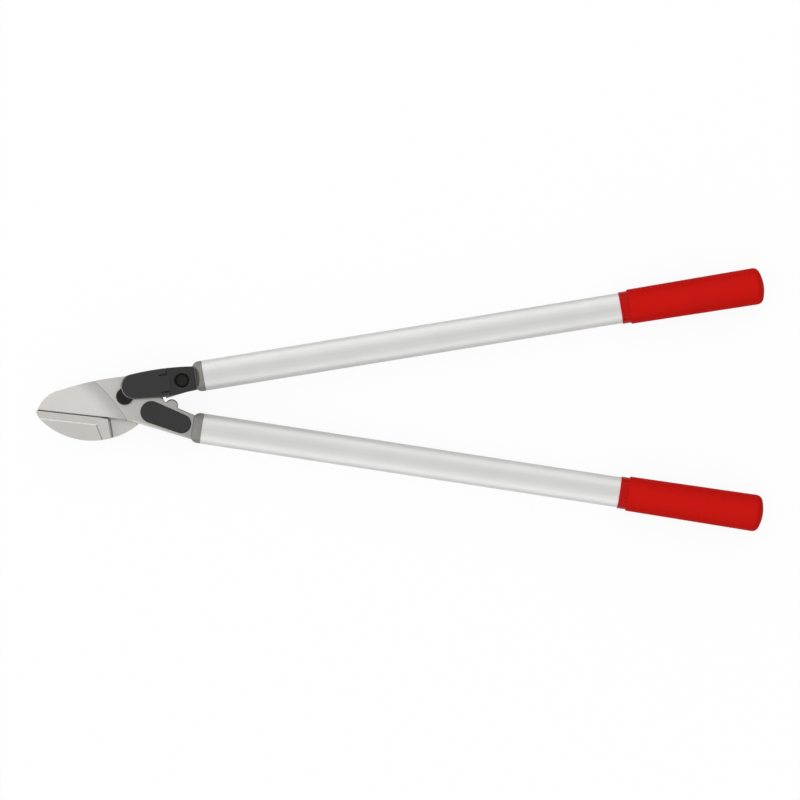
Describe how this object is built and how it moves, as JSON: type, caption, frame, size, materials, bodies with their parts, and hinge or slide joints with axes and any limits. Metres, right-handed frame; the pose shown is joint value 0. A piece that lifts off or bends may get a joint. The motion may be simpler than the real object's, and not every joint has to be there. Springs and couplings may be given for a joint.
{
  "type": "anvil lopper",
  "caption": "Long two-handed anvil lopper whose ground blade turns on a toothed-nut pivot and closes on a flat stepped anvil, with tubular handles and soft grips.",
  "frame": {"origin": "middle of the tool's box, on the plane that it lies on", "axes": "+X from the jaws to the grips, +Y across to the upper handle, +Z out of the front, away from the plane it lies on"},
  "size_m": [0.8402, 0.3038, 0.0425],
  "materials": {
    "blade_steel": "ground satin",
    "forged_steel": "bead blasted",
    "anvil_steel": "milled satin",
    "bronze": "machined",
    "lever_alloy": "forged, grey",
    "anodised_tube": "natural anodised",
    "red_sleeve": "gloss",
    "red_grip": "soft matt",
    "black_plastic": "fine grained",
    "black_steel": "black coated",
    "fastener_steel": "zinc plated"
  },
  "bodies": {
    "blade_lever": {"cutting_blade": "blade_steel", "pivot_bush": "bronze", "lower_lever_head": "lever_alloy", "tang_bolts": "fastener_steel", "tang_nuts": "fastener_steel", "tang_cover": "black_plastic", "lower_tube": "anodised_tube", "lower_grip_sleeve": "red_sleeve", "lower_grip": "red_grip"},
    "anvil_lever": {"anvil_carrier": "forged_steel", "anvil": "anvil_steel", "anvil_screws": "fastener_steel", "pivot_bolt": "fastener_steel", "pivot_washer": "fastener_steel", "thrust_washers": "bronze", "pivot_nut": "black_steel", "lock_segment": "fastener_steel", "lock_screw": "fastener_steel", "front_arm": "black_steel", "arm_cover": "black_plastic", "lever_bolt": "black_steel", "lever_nut": "fastener_steel", "lever_dowel": "fastener_steel", "upper_lever_head": "lever_alloy", "upper_tube": "anodised_tube", "upper_grip_sleeve": "red_sleeve", "upper_grip": "red_grip"}
  },
  "joints": [
    {"name": "lever_pivot", "type": "hinge", "parent": "blade_lever", "child": "anvil_lever", "pos_m": [-0.31771, 0.00375, 0.03005], "axis": [0, 0, 1], "range_deg": [0, 48]}
  ]
}
